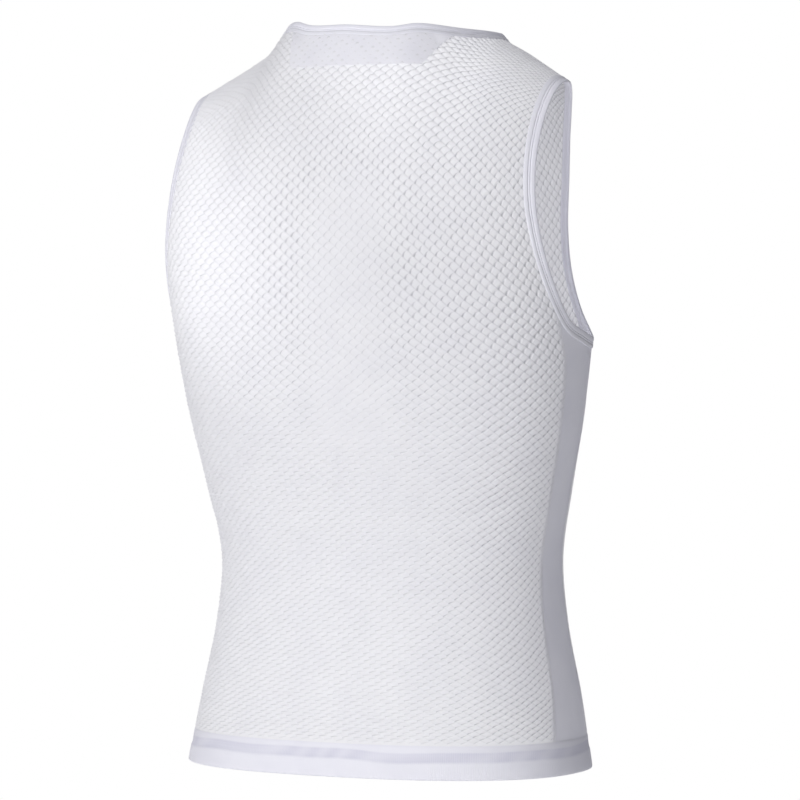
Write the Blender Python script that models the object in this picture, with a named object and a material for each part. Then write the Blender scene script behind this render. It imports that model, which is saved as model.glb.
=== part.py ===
"""Sleeveless base layer, hollow, in the form that it has when worn.

Metres. The front faces -Y and the wearer's left is +X. A turn is the angle in degrees round the
body from the centre back: 0 centre back, 90 the left side, -90 the right side, 180 centre front.
"Over" is the length of cloth down from the shoulder seam, over the shoulder and on to the hem.
"""

from math import pi

import bpy
import numpy as np

for old in list(bpy.data.objects):
    bpy.data.objects.remove(old, do_unlink=True)

# The origin lies midway between the shoulders, this high above the hem.
SHOULDER_HEIGHT = 0.598
PANEL_WALL = 0.0013
TAPE_WIDTH = 0.010
TAPE_WALL = 0.0022
TAPE_PROUD = 0.0004
HEM_BAND = 0.027
HEM_WALL = 0.0020
HEM_PROUD = 0.0003
SEAM_GAP = 0.0003
# The shoulder seam's gap is measured over the shoulder, where the cloth is foreshortened.
SHOULDER_GAP = 0.0005
# Half a seam's gap beside a side panel, in degrees of turn.
SIDE_INSET = 0.055

# Level sections of the body, one row for each height above the hem.
HALF_WIDTH, BACK, FRONT, CENTRE, SQUARE_BACK, SQUARE_FRONT = range(1, 7)
SECTIONS = (
    # height, half_width, back, front, centre, square_back, square_front
    (0.000, 0.177, 0.117, 0.121, -0.005, 2.4, 2.3),
    (0.060, 0.166, 0.110, 0.119, -0.010, 2.4, 2.3),
    (0.120, 0.154, 0.100, 0.113, -0.011, 2.4, 2.3),
    (0.175, 0.150, 0.094, 0.109, -0.010, 2.4, 2.3),
    (0.235, 0.161, 0.099, 0.108, -0.004, 2.5, 2.3),
    (0.300, 0.175, 0.108, 0.109, 0.000, 2.6, 2.2),
    (0.365, 0.184, 0.114, 0.109, 0.003, 2.8, 2.2),
    (0.430, 0.190, 0.117, 0.109, 0.006, 3.0, 2.1),
    (0.500, 0.191, 0.117, 0.104, 0.008, 3.0, 2.1),
    (0.560, 0.188, 0.111, 0.094, 0.006, 3.0, 2.1),
    (0.700, 0.184, 0.098, 0.080, 0.004, 3.0, 2.1),
)

# The shoulder seam: its tip at the armhole, its slope and the rise where the neck begins.
TIP_ACROSS, TIP_HEIGHT, TIP_DEPTH = 0.174, 0.570, 0.010
SEAM_SLOPE, SEAM_ROUND = 0.60, 0.030
# The neck sits a little lower on the wearer's right, out to here on the shoulders.
SEAM_LEAN, LEAN_END, LEAN_FADE = 0.060, 0.134, 0.075
NECK_RISE, RISE_FOOT, RISE_RUN = 0.027, 0.110, 0.060
# The cloth rounds over the shoulder by this radius at the tip and near the neck.
ROUND_AT_TIP, ROUND_AT_NECK, NECK_SIDE = 0.165, 0.200, 0.040

# The neck opening: its side points on the shoulder seam and how far it drops, as degrees of the
# shoulder's round, at the centre back and the centre front.
NECK_ACROSS, NECK_DEPTH = 0.095, -0.024
NECK_DROP_BACK, NECK_DROP_FRONT, NECK_SHAPE = 47.5, 80.0, 1.1

# The free edge of an armhole, from the shoulder tip down the back and up the front. The columns
# are counted with a row number set before them.
OVER, TURN = range(1, 3)
ARMHOLE = (
    # over, turn
    (0.000, 70.6),
    (0.040, 69.6),
    (0.080, 68.6),
    (0.120, 67.6),
    (0.160, 67.1),
    (0.200, 67.9),
    (0.235, 70.8),
    (0.265, 75.9),
    (0.285, 82.0),
    (0.293, 90.0),
    (0.300, 99.0),
    (0.303, 108.0),
    (0.295, 116.0),
    (0.270, 121.0),
    (0.233, 121.8),
    (0.190, 119.1),
    (0.150, 115.2),
    (0.110, 110.7),
    (0.070, 106.7),
    (0.035, 104.2),
    (0.000, 102.7),
)

# The two edges of a side panel, as turns, down from the armhole to the hem.
BACK_EDGE, FRONT_EDGE = range(1, 3)
SIDE_PANEL = (
    # length_down, back_edge, front_edge
    (0.260, 76.0, 122.0),
    (0.290, 77.5, 119.5),
    (0.320, 81.5, 113.0),
    (0.350, 82.8, 105.5),
    (0.385, 83.5, 100.5),
    (0.420, 84.0, 98.5),
    (0.470, 84.0, 98.0),
    (0.540, 82.2, 99.5),
    (0.600, 81.0, 101.0),
    (0.640, 79.0, 103.0),
)

# The plain yoke below the back neck.
YOKE_CENTRE, YOKE_FOOT_HALF, YOKE_TOP_HALF = -0.012, 0.056, 0.073
YOKE_FOOT_HEIGHT = 0.584
# The yoke's tips stop this share of the way to the next station of the neck seam.
YOKE_TIP_SHARE = 0.85
# The columns of a panel fan out towards the neck from this share of their length.
FAN_END = 0.55

NECK_STATIONS = 40
# By how much the neck's stations are drawn together where the yoke ends, in radians.
YOKE_CROWD = 0.06
ARM_STATIONS = 42
HEM_STATIONS = 72
STRAP_COLUMNS = 4
# The front's straps reach down to this length over the shoulder.
STRAP_END = 0.175
# A strap's edge keeps this much turn more from the neck tape, whose straight facets it crosses.
STRAP_INSET = 0.28
# A panel's edge skips stations that lie nearer to the shoulder seam than this.
TIP_CLEAR = 0.004
# The side panels' corners on an armhole seam are looked for on this many points, all of them
# further down than this length over the shoulder.
SEAM_POINTS, UNDERARM_TOP = 4801, 0.25
# Rows of the panels below the armhole, as lengths over the shoulder, and as shares of the way
# from the underarm to the first of them.
LOWER_ROWS = (0.335, 0.362, 0.390, 0.420, 0.450, 0.480, 0.510, 0.540, 0.572, 0.606)
UNDERARM_SHARES = (1 / 3, 2 / 3)
YOKE_ROWS = 4
# Steps in turn and in length for the cloth's directions.
SMALL_TURN, SMALL_OVER = 0.05, 0.0001
# Faces that meet at more than this many degrees are shaded with an edge between them.
SHARP_ANGLE = 50
ROUGHNESS = 0.75
WHITE = (0.83, 0.82, 0.86, 1.0)
TAPE_WHITE = (0.86, 0.85, 0.89, 1.0)
SHADE_WHITE = (0.80, 0.79, 0.83, 1.0)


def smooth(rows, column, at):
    """A column of a table at any value of its first column, with no corners between its rows."""
    table = np.array(rows, float)
    known, value = table[:, 0], table[:, column]
    at = np.clip(np.asarray(at, float), known[0], known[-1])
    slope = np.gradient(value, known)
    row = np.clip(np.searchsorted(known, at, side="right") - 1, 0, len(known) - 2)
    step = known[row + 1] - known[row]
    t = (at - known[row]) / step
    return (
        (1 + 2 * t) * (1 - t) ** 2 * value[row]
        + t * (1 - t) ** 2 * step * slope[row]
        + t * t * (3 - 2 * t) * value[row + 1]
        + t * t * (t - 1) * step * slope[row + 1]
    )


def eased(share):
    """A share held between 0 and 1 that starts and ends with no corner."""
    share = np.clip(share, 0, 1)
    return share * share * (3 - 2 * share)


def seam_height(x):
    """Height above the hem of the shoulder seam's line, carried on across the neck opening."""
    soft = np.hypot(x, SEAM_ROUND) - np.hypot(TIP_ACROSS, SEAM_ROUND) + TIP_ACROSS
    rise = NECK_RISE * eased((RISE_FOOT - np.abs(x)) / RISE_RUN)
    lean = SEAM_LEAN * x * eased((LEAN_END - np.abs(x)) / LEAN_FADE)
    return TIP_HEIGHT + SEAM_SLOPE * (TIP_ACROSS - soft) + rise + lean


def seam_depth(x):
    t = (TIP_ACROSS - np.clip(np.abs(x), NECK_ACROSS, None)) / (TIP_ACROSS - NECK_ACROSS)
    return TIP_DEPTH + (NECK_DEPTH - TIP_DEPTH) * t


def shoulder_round(x):
    t = np.clip((TIP_ACROSS - np.abs(x)) / (TIP_ACROSS - NECK_SIDE), 0, 1)
    return ROUND_AT_TIP + (ROUND_AT_NECK - ROUND_AT_TIP) * t


def height_over(x, over):
    """Height above the hem of the point `over` down from the shoulder seam."""
    radius = shoulder_round(x)
    angle = np.minimum(over / radius, pi / 2)
    straight = np.maximum(over - radius * pi / 2, 0)
    return seam_height(x) - radius * (1 - np.cos(angle)) - straight


def over_height(x, height):
    """How far down from the shoulder seam the cloth reaches this height above the hem."""
    radius = shoulder_round(x)
    drop = np.maximum((seam_height(x) - height) / radius, 0)
    return radius * (np.arccos(1 - np.minimum(drop, 1)) + np.maximum(drop - 1, 0))


def section_sizes(height, front):
    centre = smooth(SECTIONS, CENTRE, height)
    back_depth = smooth(SECTIONS, BACK, height) - centre
    front_depth = smooth(SECTIONS, FRONT, height) + centre
    depth = np.where(front, front_depth, back_depth)
    square = np.where(
        front, smooth(SECTIONS, SQUARE_FRONT, height), smooth(SECTIONS, SQUARE_BACK, height)
    )
    return smooth(SECTIONS, HALF_WIDTH, height), depth, centre, square


def section(turn, height):
    """Where the level section at this height is met when one turns from the centre back."""
    angle = np.radians(turn)
    half, depth, centre, square = section_sizes(height, np.cos(angle) < 0)
    sides = np.abs(np.sin(angle)) / half
    ends = np.abs(np.cos(angle)) / depth
    reach = (sides**square + ends**square) ** (-1 / square)
    return reach * np.sin(angle), centre + reach * np.cos(angle)


def turn_at(x, over, front):
    """The turn at which the cloth is met this far across and this far over the shoulder."""
    height = height_over(x, over)
    half, depth, _, square = section_sizes(height, front)
    share = (1 - np.clip(np.abs(x) / half, 0, 1) ** square) ** (1 / square)
    away = np.where(front, -depth, depth) * share
    return np.degrees(np.arctan2(x, away))


def cloth(turn, over):
    """The point of the cloth's outer face at a turn and a length over the shoulder."""
    turn, over = np.broadcast_arrays(np.asarray(turn, float), np.asarray(over, float))
    height = np.full(turn.shape, TIP_HEIGHT / 2)
    for _ in range(10):
        x, y = section(turn, height)
        height = height_over(x, over)
    share = np.sin(np.minimum(over / shoulder_round(x), pi / 2))
    seam = seam_depth(x)
    return np.stack([x, seam + (y - seam) * share, height - SHOULDER_HEIGHT], -1)


def directions(turn, over):
    """How the cloth runs with the turn, per degree, and over the shoulder, per metre."""
    round_body = cloth(turn + SMALL_TURN, over) - cloth(turn - SMALL_TURN, over)
    down_cloth = cloth(turn, over + SMALL_OVER) - cloth(turn, over - SMALL_OVER)
    return round_body / (2 * SMALL_TURN), down_cloth / (2 * SMALL_OVER)


def unit(vectors):
    return vectors / np.linalg.norm(vectors, axis=-1, keepdims=True)


def normals(turn, over):
    return unit(np.cross(*directions(turn, over)))


def beside(turn, over, distance):
    """A closed line on the cloth moved sideways within the cloth, away from its hole."""
    points = cloth(turn, over)
    along = np.roll(points, -1, axis=0) - np.roll(points, 1, axis=0)
    round_body, down_cloth = directions(turn, over)
    sideways = unit(np.cross(np.cross(round_body, down_cloth), along)) * distance
    aa = (round_body**2).sum(-1)
    ab = (round_body * down_cloth).sum(-1)
    bb = (down_cloth**2).sum(-1)
    ca = (sideways * round_body).sum(-1)
    cb = (sideways * down_cloth).sum(-1)
    area = aa * bb - ab**2
    return turn + (ca * bb - cb * ab) / area, over + (cb * aa - ca * ab) / area


def neck_line(stations):
    """The neck opening's free edge, once round from the centre back by the left shoulder."""
    even = np.linspace(0, 2 * pi, stations, endpoint=False)
    station = even + YOKE_CROWD * np.sin(4 * even)
    x = NECK_ACROSS * np.sin(station)
    front = np.cos(station) < 0
    drop = np.where(front, NECK_DROP_FRONT, NECK_DROP_BACK) * np.abs(np.cos(station)) ** NECK_SHAPE
    over = np.radians(drop) * shoulder_round(x)
    turn = turn_at(x, over, front)
    return np.where(front & (turn < 0), turn + 360, turn), over


def armhole_line(stations):
    """The left armhole's free edge, from the shoulder tip down the back and up the front."""
    rows = np.column_stack([np.arange(len(ARMHOLE)), ARMHOLE])
    at = np.linspace(0, len(ARMHOLE) - 1, stations, endpoint=False)
    return smooth(rows, TURN, at), smooth(rows, OVER, at)


def material(name, colour):
    made = bpy.data.materials.new(name)
    made.use_nodes = True
    shader = made.node_tree.nodes["Principled BSDF"]
    shader.inputs["Base Color"].default_value = colour
    shader.inputs["Roughness"].default_value = ROUGHNESS
    shader.inputs["Metallic"].default_value = 0.0
    return made


def wall(name, turn, over, outside, inside, colour, cells=None, rings=False):
    """A closed wall on the cloth from rows of turns and lengths, leaving out unwanted cells.

    `rings` joins each row's last point to its first.
    """
    points = cloth(turn, over)
    facing = normals(turn, over)
    rows, columns = turn.shape
    verts = np.concatenate([points + facing * outside, points - facing * inside]).reshape(-1, 3)
    number = np.arange(rows * columns).reshape(rows, columns)
    if rings:
        number = np.column_stack([number, number[:, :1]])
    corners = [number[:-1, :-1], number[1:, :-1], number[1:, 1:], number[:-1, 1:]]
    kept = np.ones(corners[0].shape, bool) if cells is None else cells
    outer = np.stack([corner[kept] for corner in corners], -1)
    inner = outer[:, ::-1] + rows * columns
    edges = {(face[i - 1], face[i]) for face in outer.tolist() for i in range(4)}
    rim = [(b, a, a + rows * columns, b + rows * columns) for a, b in edges if (b, a) not in edges]
    faces = np.concatenate([outer, inner, np.array(sorted(rim))])
    used, faces = np.unique(faces, return_inverse=True)
    verts, faces = verts[used], faces.reshape(-1, 4)
    mesh = bpy.data.meshes.new(name)
    mesh.from_pydata(verts.tolist(), [], faces.tolist())
    mesh.update()
    if signed_volume(verts, faces) < 0:
        mesh.flip_normals()
    mesh.shade_smooth()
    mesh.set_sharp_from_angle(angle=np.radians(SHARP_ANGLE))
    mesh.materials.append(material(name, colour))
    piece = bpy.data.objects.new(name, mesh)
    bpy.context.collection.objects.link(piece)
    return piece


def signed_volume(verts, faces):
    a, b, c, d = (verts[faces[:, corner]] for corner in range(4))
    return ((np.cross(a, b) * c).sum() + (np.cross(a, c) * d).sum()) / 6


def side_edge(over, front):
    return smooth(SIDE_PANEL, FRONT_EDGE if front else BACK_EDGE, over)


def arm_seam():
    """Where panels meet the left armhole's tape: the back's stations, the underarm's, the front's."""
    turn, over = beside(*armhole_line(ARM_STATIONS), TAPE_WIDTH + SEAM_GAP)
    # Where the line crosses the shoulder seam, its length over the shoulder changes sign.
    behind = np.where(np.cos(np.radians(turn)) < 0, -over, over)
    first, last = np.flatnonzero(np.abs(behind) > TIP_CLEAR)[[0, -1]]
    near = np.append(np.arange(last, ARM_STATIONS), np.arange(first + 1))
    tip = np.interp(0, behind[near], cloth(turn[near], over[near])[:, 0])
    ends = turn_at(tip, SHOULDER_GAP, False), turn_at(tip, SHOULDER_GAP, True)
    turn = np.concatenate([ends[:1], turn[first : last + 1], ends[1:]])
    over = np.concatenate([[SHOULDER_GAP], over[first : last + 1], [SHOULDER_GAP]])
    station = np.arange(len(turn))
    fine = np.linspace(0, len(turn) - 1, SEAM_POINTS)
    fine_turn, fine_over = np.interp(fine, station, turn), np.interp(fine, station, over)
    under = (fine_turn > side_edge(fine_over, False)) & (fine_turn < side_edge(fine_over, True))
    met = np.flatnonzero(under & (fine_over > UNDERARM_TOP))
    first, last = fine[met[0]], fine[met[-1]]
    stretches = (
        np.append(station[station < first], first),
        np.concatenate([[first], station[(station > first) & (station < last)], [last]]),
        np.append(station[station > last][::-1], last),
    )
    return [(np.interp(at, station, turn), np.interp(at, station, over)) for at in stretches]


def neck_seam(front):
    """Where a panel meets the neck tape, in stations from one shoulder seam to the other."""
    turn, over = beside(*neck_line(NECK_STATIONS), TAPE_WIDTH + SEAM_GAP)
    quarter = NECK_STATIONS // 4
    order = np.arange(quarter, 3 * quarter + 1) if front else np.arange(-quarter, quarter + 1)
    turn, over = turn[order], over[order]
    for end in (0, -1):
        x = cloth(turn[end], over[end])[0]
        turn[end] = turn_at(x, SHOULDER_GAP, front) % 360 if front else turn_at(x, SHOULDER_GAP, front)
        over[end] = SHOULDER_GAP
    return turn, over


def yoke_foot(turn, over):
    """The yoke's lower edge at each station of the back neck seam: it rises to it at its ends."""
    x = cloth(turn, over)[:, 0]
    away = np.abs(x - YOKE_CENTRE)
    share = (away - YOKE_FOOT_HALF) / (YOKE_TOP_HALF - YOKE_FOOT_HALF)
    foot = over_height(x, YOKE_FOOT_HEIGHT)
    foot = foot + (over - foot) * eased(share)
    return np.where(share < 1, turn_at(x, foot, False), turn), foot, share < 1


def hem_over(turns):
    """How far down each column meets the hem band. `turns` gives the columns' turns at a length."""
    foot = LOWER_ROWS[-1]
    for _ in range(6):
        foot = over_height(section(turns(foot), HEM_BAND)[0], HEM_BAND)
    return foot


def big_panel(name, front):
    """The back or the front: one knitted piece from the hem band to the shoulder seams.

    Its rows run from edge to edge. Above the row where a deep neck opening parts it into two
    straps, only the cells of the straps are kept.
    """
    middle = 180 if front else 0
    arm_turn, arm_over = arm_seam()[2 if front else 0]
    neck_turn, neck_over = neck_seam(front)
    neck_away, half = neck_turn - middle, len(neck_turn) // 2 + 1
    strap_rows = np.flatnonzero(arm_over > STRAP_END)[0] if front else 0
    across = np.linspace(0, 1, STRAP_COLUMNS + 1)

    def half_width(over):
        arm = np.interp(over, arm_over, arm_turn)
        edge = np.where(over < arm_over[-1], arm, side_edge(over, front))
        return np.abs(middle - edge) - SIDE_INSET * (over > arm_over[-1])

    def straps(over):
        edge = half_width(over)
        first = np.interp(over, neck_over[:half], neck_away[:half])
        last = np.interp(over, neck_over[:-half - 1:-1], neck_away[:-half - 1:-1])
        first, last = first - STRAP_INSET, last + STRAP_INSET
        return -edge + (first + edge) * across, last + (edge - last) * across

    level = arm_over[strap_rows]
    first, last = straps(level)
    low = neck_over > level + TIP_CLEAR
    away, over = neck_away[low], neck_over[low]
    if not front:
        foot_turn, foot_over, yoked = yoke_foot(neck_turn, neck_over)
        beside_yoke = yoked | np.roll(yoked, 1) | np.roll(yoked, -1)
        away, over = foot_turn[low], (foot_over + SEAM_GAP * beside_yoke)[low]
    top_away = np.concatenate([first, away, last])
    top_over = np.concatenate([np.full(first.shape, level), over, np.full(last.shape, level)])

    top_share = top_away / half_width(top_over)
    share = (np.linspace(-1, 1, len(top_away)) + top_share) / 2
    foot = hem_over(lambda over: middle + share * half_width(over))
    rows = np.concatenate([arm_over[strap_rows:], below_arm(arm_over[-1]), foot[:1]])
    levels = (rows - rows[0]) / (rows[-1] - rows[0])
    over = top_over + (foot - top_over) * levels[:, None]
    fan = eased(1 - levels / FAN_END)[:, None]
    turn = middle + half_width(over) * (share + (top_share - share) * fan)

    cells = np.ones((strap_rows + len(turn) - 1, len(share) - 1), bool)
    cells[:strap_rows, STRAP_COLUMNS:-STRAP_COLUMNS] = False
    for length in arm_over[:strap_rows][::-1]:
        first, last = straps(length)
        row = np.concatenate([first, 0 * away, last])
        turn = np.vstack([middle + row, turn])
        over = np.vstack([np.full(row.shape, length), over])
    return wall(name, turn, over, 0.0, PANEL_WALL, WHITE, cells)


def below_arm(start):
    """Row lengths from the point where a side panel starts down to the last row above the hem."""
    return np.append(start + (LOWER_ROWS[0] - start) * np.array(UNDERARM_SHARES), LOWER_ROWS)


def side_panel(name, side):
    """The plain strip under one arm, from the armhole tape to the hem band."""
    top_turn, top_over = arm_seam()[1]
    share = (top_turn - top_turn[0]) / (top_turn[-1] - top_turn[0])
    rows = np.array([below_arm(start) for start in top_over]).T

    def turns(over):
        back = side_edge(over, False) + SIDE_INSET
        front = side_edge(over, True) - SIDE_INSET
        return back + (front - back) * share

    foot = hem_over(turns)
    turn = np.concatenate([top_turn[None], turns(rows), turns(foot)[None]])
    over = np.concatenate([top_over[None], rows, foot[None]])
    turn[0, 0] += SIDE_INSET
    turn[0, -1] -= SIDE_INSET
    return wall(name, side * turn, over, 0.0, PANEL_WALL, SHADE_WHITE)


def yoke(name):
    """The plain zone between the back neck tape and the mesh."""
    top_turn, top_over = neck_seam(False)
    foot_turn, foot_over, yoked = yoke_foot(top_turn, top_over)
    station = np.arange(len(top_turn))
    inside = np.flatnonzero(yoked)
    ends = inside[0] - YOKE_TIP_SHARE, inside[-1] + YOKE_TIP_SHARE
    at = np.concatenate([[ends[0]], inside, [ends[1]]])
    top = np.array([np.interp(at, station, line) for line in (top_turn, top_over)])
    foot = np.array([np.interp(at, station, line) for line in (foot_turn, foot_over)])
    down = np.linspace(0, 1, YOKE_ROWS)[:, None]
    turn = top[0] + (foot[0] - top[0]) * down
    over = top[1] + (foot[1] - top[1]) * down
    over[0] += SEAM_GAP / 2
    return wall(name, turn, over, 0.0, PANEL_WALL, WHITE)


def tape(name, turn, over, side=1):
    """A folded elastic tape round a hole, with its free edge on the given line."""
    outer = beside(turn, over, TAPE_WIDTH)
    rows = np.array([turn, outer[0]]) * side, np.array([over, outer[1]])
    return wall(name, *rows, TAPE_PROUD, TAPE_WALL - TAPE_PROUD, TAPE_WHITE, rings=True)


def hem_band(name):
    turn = np.linspace(0, 360, HEM_STATIONS, endpoint=False)
    rows = np.array([turn, turn])
    height = np.array([HEM_BAND - SEAM_GAP, 0.0])[:, None]
    over = over_height(section(rows, height + 0 * rows)[0], height)
    return wall(name, rows, over, HEM_PROUD, HEM_WALL - HEM_PROUD, SHADE_WHITE, rings=True)


big_panel("back_panel", front=False)
big_panel("front_panel", front=True)
side_panel("side_panel_left", 1)
side_panel("side_panel_right", -1)
yoke("back_neck_yoke")
tape("neck_binding", *neck_line(NECK_STATIONS))
tape("armhole_binding_left", *armhole_line(ARM_STATIONS))
tape("armhole_binding_right", *armhole_line(ARM_STATIONS), side=-1)
hem_band("hem_band")
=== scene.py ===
"""A sleeveless base layer, hollow, in the form that it has when worn, seen from behind.

Metres. The front faces -Y and the wearer's left is +X. A turn is the angle in degrees round the
body from the centre back: 0 centre back, 90 the left side, 180 centre front, -90 the right side.
"Over" is the length of cloth down from the shoulder seam, over the shoulder and on to the hem.
"""

from math import pi

import bpy
import numpy as np
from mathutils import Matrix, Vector


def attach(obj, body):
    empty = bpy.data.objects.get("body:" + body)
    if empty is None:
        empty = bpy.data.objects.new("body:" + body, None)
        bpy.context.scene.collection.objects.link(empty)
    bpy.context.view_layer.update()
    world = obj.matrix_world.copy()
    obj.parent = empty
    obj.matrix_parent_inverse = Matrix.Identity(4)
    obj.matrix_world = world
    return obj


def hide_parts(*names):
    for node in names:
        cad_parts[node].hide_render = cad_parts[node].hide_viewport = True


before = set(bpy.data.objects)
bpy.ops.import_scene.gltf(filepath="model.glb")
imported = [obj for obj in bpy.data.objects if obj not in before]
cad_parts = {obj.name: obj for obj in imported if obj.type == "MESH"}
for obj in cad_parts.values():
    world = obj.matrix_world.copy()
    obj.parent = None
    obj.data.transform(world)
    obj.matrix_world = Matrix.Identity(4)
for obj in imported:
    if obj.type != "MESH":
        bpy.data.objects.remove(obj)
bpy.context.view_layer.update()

# ---------------------------------------------------------------------------------------------
# The picture: the back, seen level from mid-back height with the wearer's right side turned
# towards the camera, in a white studio lit from the upper left.

# How far the camera stands round from the front, its distance from the origin's axis, its
# distance to one side of it and its height.
CAMERA_AZIMUTH, CAMERA_DISTANCE, CAMERA_ASIDE, CAMERA_HEIGHT = 207.0, 2.8, 0.01105, -0.290
CAMERA_LENS = 148.2
# A worn base layer's hem is about this far above the ground.
HEM_LEVEL, HEM_ABOVE_FLOOR, FLOOR_RADIUS = -0.598, 0.85, 5.5


def towards(azimuth, elevation):
    """The direction from the object to a point this far round from the front and this high."""
    a, e = np.radians(azimuth), np.radians(elevation)
    return Vector((np.sin(a) * np.cos(e), -np.cos(a) * np.cos(e), np.sin(e)))


def aim(made, direction):
    made.rotation_mode = "QUATERNION"
    made.rotation_quaternion = (-direction).to_track_quat("-Z", "Y")


to_camera = towards(CAMERA_AZIMUTH, 0)
picture_right = Vector((-to_camera.y, to_camera.x, 0))
camera = bpy.data.objects.new("camera", bpy.data.cameras.new("camera"))
bpy.context.collection.objects.link(camera)
camera.location = to_camera * CAMERA_DISTANCE + picture_right * CAMERA_ASIDE
camera.location.z = CAMERA_HEIGHT
aim(camera, to_camera)
camera.data.lens = CAMERA_LENS
bpy.context.scene.camera = camera
bpy.context.scene.view_settings.view_transform = "Standard"


def softbox(name, azimuth, elevation, distance, size, power, colour):
    """A large soft square light that points at the middle of the garment."""
    light = bpy.data.lights.new(name, "AREA")
    light.size, light.energy, light.color = size, power, colour
    made = bpy.data.objects.new(name, light)
    made.visible_camera = False
    bpy.context.collection.objects.link(made)
    direction = towards(azimuth, elevation)
    made.location = direction * distance
    made.location.z += CAMERA_HEIGHT
    aim(made, direction)


# The key at the upper left, a weaker light by the camera, and the lit white sweep in front of the
# wearer, which shines through the thin front into the hollow.
SOFTBOXES = (
    # name, azimuth, elevation, distance, size, power, colour
    ("key_left", 173, 23, 3.0, 1.6, 46, (1.0, 0.995, 0.985)),
    ("fill_by_camera", 190, 5, 3.0, 1.6, 28, (1.0, 0.995, 0.985)),
    ("white_sweep", 27, 10, 3.0, 2.0, 70, (1.0, 1.0, 1.0)),
)
for values in SOFTBOXES:
    softbox(*values)


def colour(code):
    """An sRGB hex colour as linear values."""
    parts = np.array([int(code[at : at + 2], 16) for at in (0, 2, 4)]) / 255
    return (*np.where(parts < 0.04045, parts / 12.92, ((parts + 0.055) / 1.055) ** 2.4), 1.0)


def node(tree, kind, settings=(), **links):
    """Adds a node: its properties and values from `settings`, its links by socket name."""
    made = tree.nodes.new(kind)
    for name, value in dict(settings).items():
        if isinstance(name, int) or name in made.inputs:
            made.inputs[name].default_value = value
        else:
            setattr(made, name, value)
    for name, source in links.items():
        socket = int(name[1:]) if name[0] == "_" else name.replace("_", " ")
        tree.links.new(source, made.inputs[socket])
    return made


# The studio: white where the camera looks past the garment, and a dimmer soft light from all
# round, because a white sweep fills only part of a real studio.
world = bpy.data.worlds.new("studio")
world.use_nodes = True
tree = world.node_tree
tree.nodes.clear()
seen = node(tree, "ShaderNodeBackground", {"Color": colour("ffffff"), "Strength": 1.0})
light = node(tree, "ShaderNodeBackground", {"Color": colour("f4f4f8"), "Strength": 0.23})
path = node(tree, "ShaderNodeLightPath")
mixed = node(
    tree,
    "ShaderNodeMixShader",
    _0=path.outputs["Is Camera Ray"],
    _1=light.outputs[0],
    _2=seen.outputs[0],
)
node(tree, "ShaderNodeOutputWorld", Surface=mixed.outputs[0])
bpy.context.scene.world = world

bpy.ops.object.select_all(action="DESELECT")
bpy.ops.mesh.primitive_circle_add(
    vertices=96,
    radius=FLOOR_RADIUS,
    fill_type="NGON",
    location=(0, 0, HEM_LEVEL - HEM_ABOVE_FLOOR),
)
floor = bpy.context.object
floor.name = "floor"
floor_paint = bpy.data.materials.new("floor_white_paint")
floor_paint.use_nodes = True
floor_shader = floor_paint.node_tree.nodes["Principled BSDF"]
floor_shader.inputs["Base Color"].default_value = colour("f4f4f4")
floor_shader.inputs["Roughness"].default_value = 0.9
# Lights under it keep it pale.
floor_shader.inputs["Emission Color"].default_value = colour("f8f8fa")
floor_shader.inputs["Emission Strength"].default_value = 0.16
floor.data.materials.append(floor_paint)

# ---------------------------------------------------------------------------------------------
# The back: one piece of fine white polyamide yarn, knitted on a circular machine as an open
# diamond mesh. Raised strands cross in an X. Between them each cell is a plump web that stands
# away from the strand on its upper left, and leaves a slit or an eyelet there.

SHOULDER_HEIGHT = 0.598
# Level sections of the worn form, one row for each height above the hem.
HALF_WIDTH, BACK, FRONT, CENTRE, SQUARE_BACK, SQUARE_FRONT = range(1, 7)
SECTIONS = (
    # height, half_width, back, front, centre, square_back, square_front
    (0.000, 0.177, 0.117, 0.121, -0.005, 2.4, 2.3),
    (0.060, 0.166, 0.110, 0.119, -0.010, 2.4, 2.3),
    (0.120, 0.154, 0.100, 0.113, -0.011, 2.4, 2.3),
    (0.175, 0.150, 0.094, 0.109, -0.010, 2.4, 2.3),
    (0.235, 0.161, 0.099, 0.108, -0.004, 2.5, 2.3),
    (0.300, 0.175, 0.108, 0.109, 0.000, 2.6, 2.2),
    (0.365, 0.184, 0.114, 0.109, 0.003, 2.8, 2.2),
    (0.430, 0.190, 0.117, 0.109, 0.006, 3.0, 2.1),
    (0.500, 0.191, 0.117, 0.104, 0.008, 3.0, 2.1),
    (0.560, 0.188, 0.111, 0.094, 0.006, 3.0, 2.1),
    (0.700, 0.184, 0.098, 0.080, 0.004, 3.0, 2.1),
)
# The shoulder seam: its tip at the armhole, its slope, its rise and lean where the neck begins,
# and the radius by which the cloth rounds over it.
TIP_ACROSS, TIP_HEIGHT, TIP_DEPTH = 0.174, 0.570, 0.010
SEAM_SLOPE, SEAM_ROUND = 0.60, 0.030
SEAM_LEAN, LEAN_END, LEAN_FADE = 0.060, 0.134, 0.075
NECK_RISE, RISE_FOOT, RISE_RUN = 0.027, 0.110, 0.060
ROUND_AT_TIP, ROUND_AT_NECK, NECK_SIDE = 0.165, 0.200, 0.040
# The neck opening: its side points on the shoulder seam and its drop, as degrees of the round.
NECK_ACROSS, NECK_DEPTH = 0.095, -0.024
NECK_DROP_BACK, NECK_DROP_FRONT, NECK_SHAPE = 47.5, 80.0, 1.1
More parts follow.
